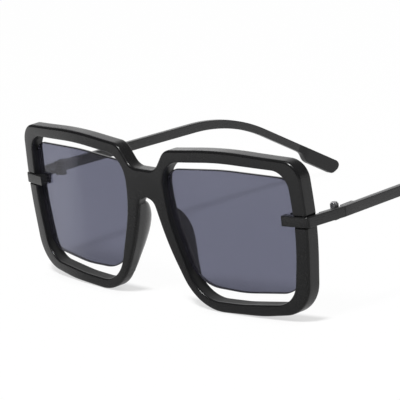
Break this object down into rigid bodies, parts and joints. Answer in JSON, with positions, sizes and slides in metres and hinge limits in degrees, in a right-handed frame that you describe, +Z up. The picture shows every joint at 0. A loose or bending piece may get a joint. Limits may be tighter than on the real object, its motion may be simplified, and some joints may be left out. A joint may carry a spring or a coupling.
{
  "type": "oversized sunglasses",
  "caption": "Oversized sunglasses with large squared rims, lenses clamped inside the openings by bars over the rims, and slim folding temples with paddle-shaped tips.",
  "frame": {"origin": "below the middle of the open sunglasses, on the plane that the rims' lower edges and the temples' tips stand on", "axes": "+X to the wearer's left, +Y from the front back along the temples, +Z up; the front faces -Y"},
  "size_m": [0.1526, 0.1548, 0.0572],
  "materials": {
    "front_plastic": "satin black injection moulding",
    "pad_plastic": "polished black, smooth to the skin",
    "tinted_lens": "clear grey-violet tint, polished both sides",
    "black_metal": "fine satin black coating",
    "hinge_metal": "thin black coating, worn bright on edges",
    "tip_plastic": "satin black sleeve",
    "screw_steel": "bright turned steel"
  },
  "bodies": {
    "front": {"front_frame": "front_plastic", "nose_pad_left": "pad_plastic", "nose_pad_right": "pad_plastic", "lens_left": "tinted_lens", "lens_right": "tinted_lens", "end_piece_left": "black_metal", "end_piece_right": "black_metal", "lens_clamp_left": "black_metal", "lens_clamp_right": "black_metal", "clamp_screw_left": "screw_steel", "clamp_screw_right": "screw_steel", "rim_screw_left": "screw_steel", "rim_screw_right": "screw_steel", "front_leaf_left": "hinge_metal", "front_leaf_right": "hinge_metal", "hinge_screw_left": "screw_steel", "hinge_screw_right": "screw_steel"},
    "left_temple": {"temple_leaf_left": "hinge_metal", "temple_arm_left": "black_metal", "temple_tip_left": "tip_plastic"},
    "right_temple": {"temple_leaf_right": "hinge_metal", "temple_arm_right": "black_metal", "temple_tip_right": "tip_plastic"}
  },
  "joints": [
    {"name": "left_temple_fold", "type": "hinge", "parent": "front", "child": "left_temple", "pos_m": [0.07224, -0.05627, 0.0354], "axis": [0, 0, 1], "range_deg": [0, 89]},
    {"name": "right_temple_fold", "type": "hinge", "parent": "front", "child": "right_temple", "pos_m": [-0.07224, -0.05627, 0.0354], "axis": [0, 0, -1], "range_deg": [0, 85]}
  ]
}
